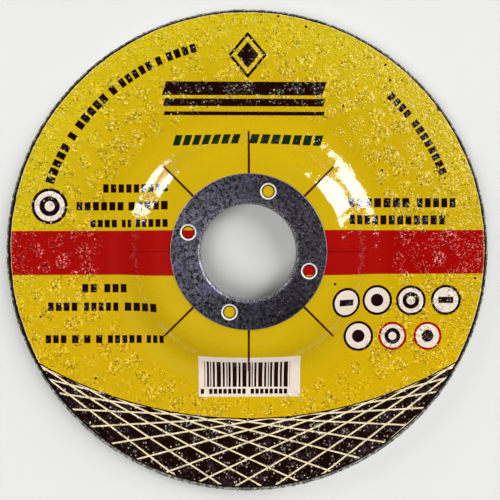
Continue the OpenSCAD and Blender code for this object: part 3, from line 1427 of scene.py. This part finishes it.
    def build(self) -> bpy.types.Object:
        """Build the embossed upper face, the plain underside and the cut edges between them.

        Each point of a grid of radii and angles gets a height: on the underside the wall's, and on the upper
        face the draped paper's, plus the emboss and the wrinkles.

        Returns:
            The label, dressed.
        """
        slit_stops = (self.inner_radius, self.clamp_radius, self.slit_end)
        lower_stops = (*slit_stops, self.section.foot_bend[0], self.outer_radius)
        upper_rows = stepped((*slit_stops, self.fine_from), self.slit_steps + self.upper_steps)
        lower_rows = stepped(lower_stops, self.slit_steps + self.lower_steps)
        split = sum(self.slit_steps)
        fine_columns = self.coarse_columns * 2
        upper, free = self.numbering(0, self.coarse_columns, len(upper_rows), split)
        outer, free = self.numbering(free, fine_columns, self.fine_rows, 0)
        lower, free = self.numbering(free, self.bottom_columns, len(lower_rows), split)
        points = np.zeros((free, 3))
        for number, radii in ((upper, upper_rows), (lower, lower_rows)):
            angle = self.spread(radii, number.shape[1] - 1)
            points[number] = about_axis(radii, angle, 0.0)
        step = (self.outer_radius - self.fine_from) / self.fine_rows
        angle = self.spread(np.full(self.fine_rows, self.outer_radius), fine_columns)
        share = np.linspace(0.0, 1.0, self.fine_rows)
        start = self.fine_from + step
        radius = start + (self.edge_radius(angle) - start) * share
        points[outer] = about_axis(radius, angle, 0.0)
        rim = lower[..., -1]
        rim_angle = np.arctan2(points[rim][..., 1], points[rim][..., 0])
        points[rim] = about_axis(self.edge_radius(rim_angle % (2.0 * math.pi)), rim_angle, 0.0)
        far = np.hypot(points[:, 0], points[:, 1])
        on_top = np.arange(free) < lower.min()
        emboss = np.where(on_top, self.emboss(points), 0.0)
        points[:, 2] = np.where(on_top, self.draped(far), self.section.height(far, 0.0))
        points[:, 2] += emboss * self.emboss_depth + np.where(on_top, self.wrinkle(points), 0.0)
        quads, triangles, quad_map, triangle_map = self.faces(points, upper, outer, lower, split)
        surface = Surface(points, quads, triangles, quad_map, triangle_map)
        piece = surface.to_object("printed_label", 50.0)
        store_numbers(piece, "emboss", emboss)
        store_numbers(piece, "grit", np.where(on_top, self.pressed(points), 0.0))
        store_numbers(piece, "cut_edge", np.where(on_top, 0.0, 1.0))
        piece.data.materials.append(self.finish.material())
        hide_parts("paper_label")
        return piece

    def faces(
        self, points: np.ndarray, upper: np.ndarray, outer: np.ndarray, lower: np.ndarray, split: int
    ) -> tuple[np.ndarray, np.ndarray, np.ndarray, np.ndarray]:
        """Join the grids into one closed skin and lay it out flat.

        The upper face fills the unit square as a disc. The underside, the two round edges and the slits'
        edges take its corners.

        Args:
            points: the label's vertices.
            upper: vertex numbers of the upper face near the hub.
            outer: vertex numbers of the finer upper face beyond it.
            lower: vertex numbers of the underside.
            split: rows along a slit.

        Returns:
            Quads and triangles, then their places in the unit square.
        """
        def ring(number: np.ndarray, row: int) -> np.ndarray:
            """Vertex numbers once round a row, back to the first."""
            once = number[:, :-1, row].reshape(-1)
            return np.append(once, once[0])

        plan = points[:, :2] / self.outer_radius
        turn = np.arctan2(points[:, 1], points[:, 0])
        unit = np.stack([np.cos(turn), np.sin(turn)], axis=-1)
        face_quads = np.concatenate([grid_quads(upper), grid_quads(outer)])
        seam = self.fan(ring(upper, -1), ring(outer, 0))
        base_quads = grid_quads(lower)[:, ::-1]
        rim_wall = self.fan(ring(lower, -1), ring(outer, -1))[:, ::-1]
        is_upper = np.arange(len(points)) < lower.min()
        inner_wall = np.concatenate([self.fan(lower[k, :, 0], upper[k, :, 0]) for k in range(SECTORS)])
        slit_quads = []
        slit_map = []
        for column, turned in ((0, False), (-1, True)):
            high, low = upper[:, column, : split + 1], lower[:, column, : split + 1]
            strip = np.stack([high[:, :-1], low[:, :-1], low[:, 1:], high[:, 1:]], axis=-1)
            across = np.broadcast_to(np.arange(split)[None, :, None] + np.array([0, 0, 1, 1]), strip.shape)
            lane = np.arange(SECTORS)[:, None, None] * 2 + (column != 0) + np.array([0.8, 0.1, 0.1, 0.8])
            lane = np.broadcast_to(lane, strip.shape)
            place = np.stack([0.84 + 0.15 * across / split, 0.84 + 0.15 * lane / (2 * SECTORS)], axis=-1)
            if turned:
                strip, place = strip[..., ::-1], place[..., ::-1, :]
            slit_quads.append(strip.reshape(-1, 4))
            slit_map.append(place.reshape(-1, 4, 2))
        quads = np.concatenate([face_quads, base_quads, *slit_quads])
        quad_map = np.concatenate([
            0.5 + 0.495 * plan[face_quads], LOW_CORNER + CORNER_REACH * plan[base_quads], *slit_map,
        ])
        triangles = np.concatenate([seam, rim_wall, inner_wall])
        rise = np.where(is_upper, CORNER_REACH, 0.05)[:, None]
        rim_place = np.array([HIGH_CORNER, LOW_CORNER]) + unit * rise
        bore_place = np.array([LOW_CORNER, HIGH_CORNER]) + unit * rise
        triangle_map = np.concatenate([
            0.5 + 0.495 * plan[seam], rim_place[rim_wall], bore_place[inner_wall],
        ])
        return quads, triangles, quad_map, triangle_map


@dataclass
class SteelRing:
    """The pressed ring, kept as it is in the frame."""

    finish: TinnedSheet

    def dress(self) -> bpy.types.Object:
        """Give the ring its sheet-metal finish.

        Returns:
            The ring.
        """
        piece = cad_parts["steel_ring"]
        piece.data.materials.clear()
        piece.data.materials.append(self.finish.material())
        return piece


@dataclass(frozen=True)
class Panel:
    """Soft lamp that faces the hub, placed by its direction."""

    name: str
    azimuth_deg: float
    zenith_deg: float
    distance: float
    wide: float
    tall: float
    radiance: float
    mirrored: bool = True


@dataclass
class Studio:
    """Pale floor, soft light and the camera."""

    target: tuple[float, float, float] = (0.34, 0.34, 3.0)
    eye: tuple[float, float, float] = (-1.68, 2.25, 138.4)
    lens: float = 40.96
    panels: tuple[Panel, ...] = (
        Panel("right_panel", 31.0, 54.7, 4000.0, 1400.0, 4380.0, 7.9),
        Panel("left_panel", 142.0, 70.0, 4000.0, 932.0, 1700.0, 8.5),
        Panel("left_slot", 159.0, 76.0, 4000.0, 336.0, 1772.0, 8.5),
        Panel("fill_panel", 225.0, 28.0, 4800.0, 3600.0, 3600.0, 3.97, False),
    )
    floor_half: float = 3500.0
    floor_lines: int = 9
    haze: float = 0.7
    haze_top: float = 0.06
    sky: float = 0.02

    def floor(self) -> bpy.types.Object:
        """Lay the floor: a square sheet of points under the wheel.

        Returns:
            The floor.
        """
        line = np.linspace(-self.floor_half, self.floor_half, self.floor_lines) * MM
        across, along = np.meshgrid(line, line)
        points = np.stack([across, along, np.zeros_like(across)], axis=-1).reshape(-1, 3)
        quads = grid_quads(np.arange(len(points)).reshape(1, self.floor_lines, self.floor_lines))
        mesh = bpy.data.meshes.new("floor")
        mesh.from_pydata(points.tolist(), [], quads.tolist())
        piece = bpy.data.objects.new("floor", mesh)
        bpy.context.scene.collection.objects.link(piece)
        coat = Coat("pale_floor")
        coat.lay(None, Tone.FLOOR)
        coat.tint(coat.noise(60.0, 2.0) * 0.03 + 0.985)
        coat.feed("Roughness", 0.9)
        piece.data.materials.append(coat.done())
        return piece

    def light(self) -> None:
        """Hang the panels in a dim sky that is pale along the horizon."""
        scene = bpy.context.scene
        for panel in self.panels:
            lamp = bpy.data.lights.new(panel.name, "AREA")
            lamp.shape = "RECTANGLE"
            lamp.size = panel.wide * MM
            lamp.size_y = panel.tall * MM
            lamp.energy = math.pi * lamp.size * lamp.size_y * panel.radiance
            holder = bpy.data.objects.new(panel.name, lamp)
            azimuth, zenith = math.radians(panel.azimuth_deg), math.radians(panel.zenith_deg)
            back = Vector((
                math.sin(zenith) * math.cos(azimuth), math.sin(zenith) * math.sin(azimuth), math.cos(zenith),
            ))
            right = Vector((0.0, 0.0, 1.0)).cross(back).normalized()
            up = back.cross(right)
            turn = Matrix((right, up, back)).transposed().to_4x4()
            holder.matrix_world = Matrix.Translation(back * panel.distance * MM) @ turn
            holder.visible_camera = False
            holder.visible_glossy = panel.mirrored
            scene.collection.objects.link(holder)
        world = bpy.data.worlds.new("studio")
        world.use_nodes = True
        tree = world.node_tree
        background = tree.nodes["Background"]
        split = tree.nodes.new("ShaderNodeSeparateXYZ")
        tree.links.new(tree.nodes.new("ShaderNodeTexCoord").outputs["Generated"], split.inputs[0])
        height = Field(tree, split.outputs["Z"])
        level = height.ramp(self.haze_top, 0.0) * (self.haze - self.sky) + self.sky
        tree.links.new(level.socket, background.inputs["Strength"])
        background.inputs["Color"].default_value = (1.0, 1.0, 1.0, 1.0)
        scene.world = world

    def camera(self) -> None:
        """Set the camera over the wheel, with the label's top towards the frame's top."""
        scene = bpy.context.scene
        eye, target = Vector(self.eye) * MM, Vector(self.target) * MM
        back = (eye - target).normalized()
        right = Vector((0.0, 1.0, 0.0)).cross(back).normalized()
        up = back.cross(right)
        holder = bpy.data.objects.new("camera", bpy.data.cameras.new("camera"))
        holder.data.lens = self.lens
        holder.data.clip_start = 0.005
        holder.matrix_world = Matrix.Translation(eye) @ Matrix((right, up, back)).transposed().to_4x4()
        scene.collection.objects.link(holder)
        scene.camera = holder
        scene.view_settings.view_transform = "Standard"


def main() -> None:
    """Build the wheel's pieces in order from the parts' boxes, log their face counts, and set the studio."""
    logging.basicConfig(level=logging.INFO, format="%(name)s: %(message)s")
    wheel_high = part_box("abrasive_wheel")[1] * PER_METRE
    label_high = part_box("paper_label")[1] * PER_METRE
    ring_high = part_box("steel_ring")[1] * PER_METRE
    thickness = 3.0
    bore_radius = 11.115
    label_start = 0.9
    label_trim = 0.18
    label_shift = (0.08, 0.22)
    slit_dark_short = 0.5
    section = HubSection(
        thickness=thickness, rise=wheel_high.z - thickness, recess_radius=22.75, slope_deg=42.0,
        bend_radius=5.5,
    )
    sheet = ring_high.z - label_high.z
    holes = HoleCircle(circle_radius=(bore_radius + ring_high.x) / 2, hole_radius=1.35, turn_deg=-17.8)
    disc = AbrasiveDisc(
        section=section, rim_radius=wheel_high.x, label_radius=label_high.x, seat_radius=bore_radius + sheet,
        finish=BondedAbrasive(label_high.x),
    )
    label = PaperLabel(
        section=section, inner_radius=bore_radius + label_start, outer_radius=label_high.x,
        thickness=label_high.z - wheel_high.z, trim=label_trim, shift=label_shift,
        finish=PrintedPaper(label_high.x - label_trim, label_shift, section.foot_radius - slit_dark_short, holes),
    )
    ring = SteelRing(TinnedSheet(bore_radius, ring_high.x, holes))
    for piece in (disc.build(), label.build(), ring.dress()):
        LOG.info("%s: %d faces", piece.name, len(piece.data.polygons))
    studio = Studio()
    studio.floor()
    studio.light()
    studio.camera()


if __name__ == "__main__":
    main()
